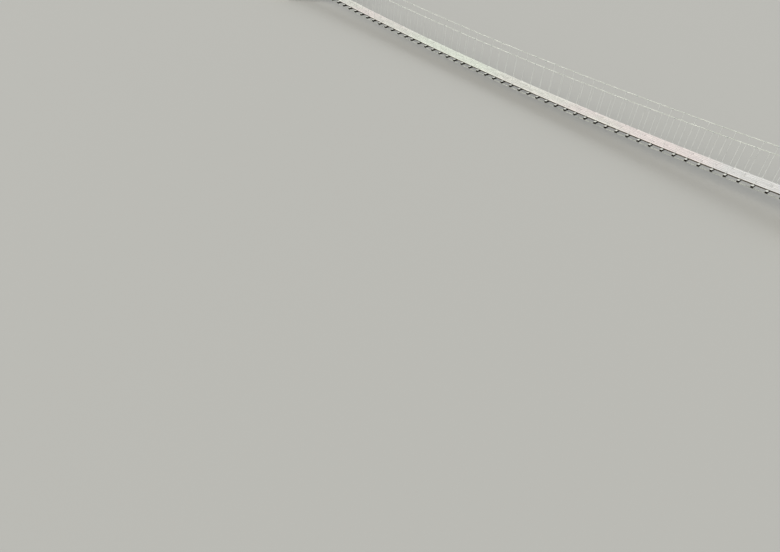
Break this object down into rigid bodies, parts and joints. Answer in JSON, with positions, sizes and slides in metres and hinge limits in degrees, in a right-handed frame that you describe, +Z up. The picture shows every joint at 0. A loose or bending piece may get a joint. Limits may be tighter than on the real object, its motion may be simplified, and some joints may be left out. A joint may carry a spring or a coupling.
{
  "type": "suspended footbridge",
  "caption": "Narrow boarded footbridge hung in a shallow sag on two walkway cables, with hand cables, hanger rods, end posts and concrete abutments.",
  "frame": {"origin": "on the ground halfway along the bridge, on the walkway's centre line", "axes": "+X along the walkway, +Y across it, +Z up"},
  "size_m": [33.92, 1.9, 2.4705],
  "materials": {
    "deck_timber": "sawn boards, bleached pale grey by the sun",
    "crossbeam_timber": "sawn hardwood, bleached on top and dark at the sides",
    "wire_rope": "galvanised strands, dull grey",
    "galvanised_steel": "hot-dip galvanised, weathered",
    "concrete": "cast concrete, board-marked"
  },
  "bodies": {
    "root": {"floor_frame_01": "crossbeam_timber", "deck_section_01": "deck_timber", "floor_frame_02": "crossbeam_timber", "deck_section_02": "deck_timber", "floor_frame_03": "crossbeam_timber", "deck_section_03": "deck_timber", "floor_frame_04": "crossbeam_timber", "deck_section_04": "deck_timber", "floor_frame_05": "crossbeam_timber", "deck_section_05": "deck_timber", "floor_frame_06": "crossbeam_timber", "deck_section_06": "deck_timber", "floor_frame_07": "crossbeam_timber", "deck_section_07": "deck_timber", "floor_frame_08": "crossbeam_timber", "deck_section_08": "deck_timber", "floor_frame_09": "crossbeam_timber", "deck_section_09": "deck_timber", "floor_frame_10": "crossbeam_timber", "deck_section_10": "deck_timber", "near_hand_cable": "wire_rope", "near_walkway_cable": "wire_rope", "far_hand_cable": "wire_rope", "far_walkway_cable": "wire_rope", "right_abutment": "concrete", "right_threshold_plate": "galvanised_steel", "right_near_post": "galvanised_steel", "right_near_saddle": "galvanised_steel", "right_near_hand_cable_anchor": "galvanised_steel", "right_near_walkway_cable_anchor": "galvanised_steel", "right_far_post": "galvanised_steel", "right_far_saddle": "galvanised_steel", "right_far_hand_cable_anchor": "galvanised_steel", "right_far_walkway_cable_anchor": "galvanised_steel", "left_abutment": "concrete", "left_threshold_plate": "galvanised_steel", "left_near_post": "galvanised_steel", "left_near_saddle": "galvanised_steel", "left_near_hand_cable_anchor": "galvanised_steel", "left_near_walkway_cable_anchor": "galvanised_steel", "left_far_post": "galvanised_steel", "left_far_saddle": "galvanised_steel", "left_far_hand_cable_anchor": "galvanised_steel", "left_far_walkway_cable_anchor": "galvanised_steel"}
  },
  "joints": []
}
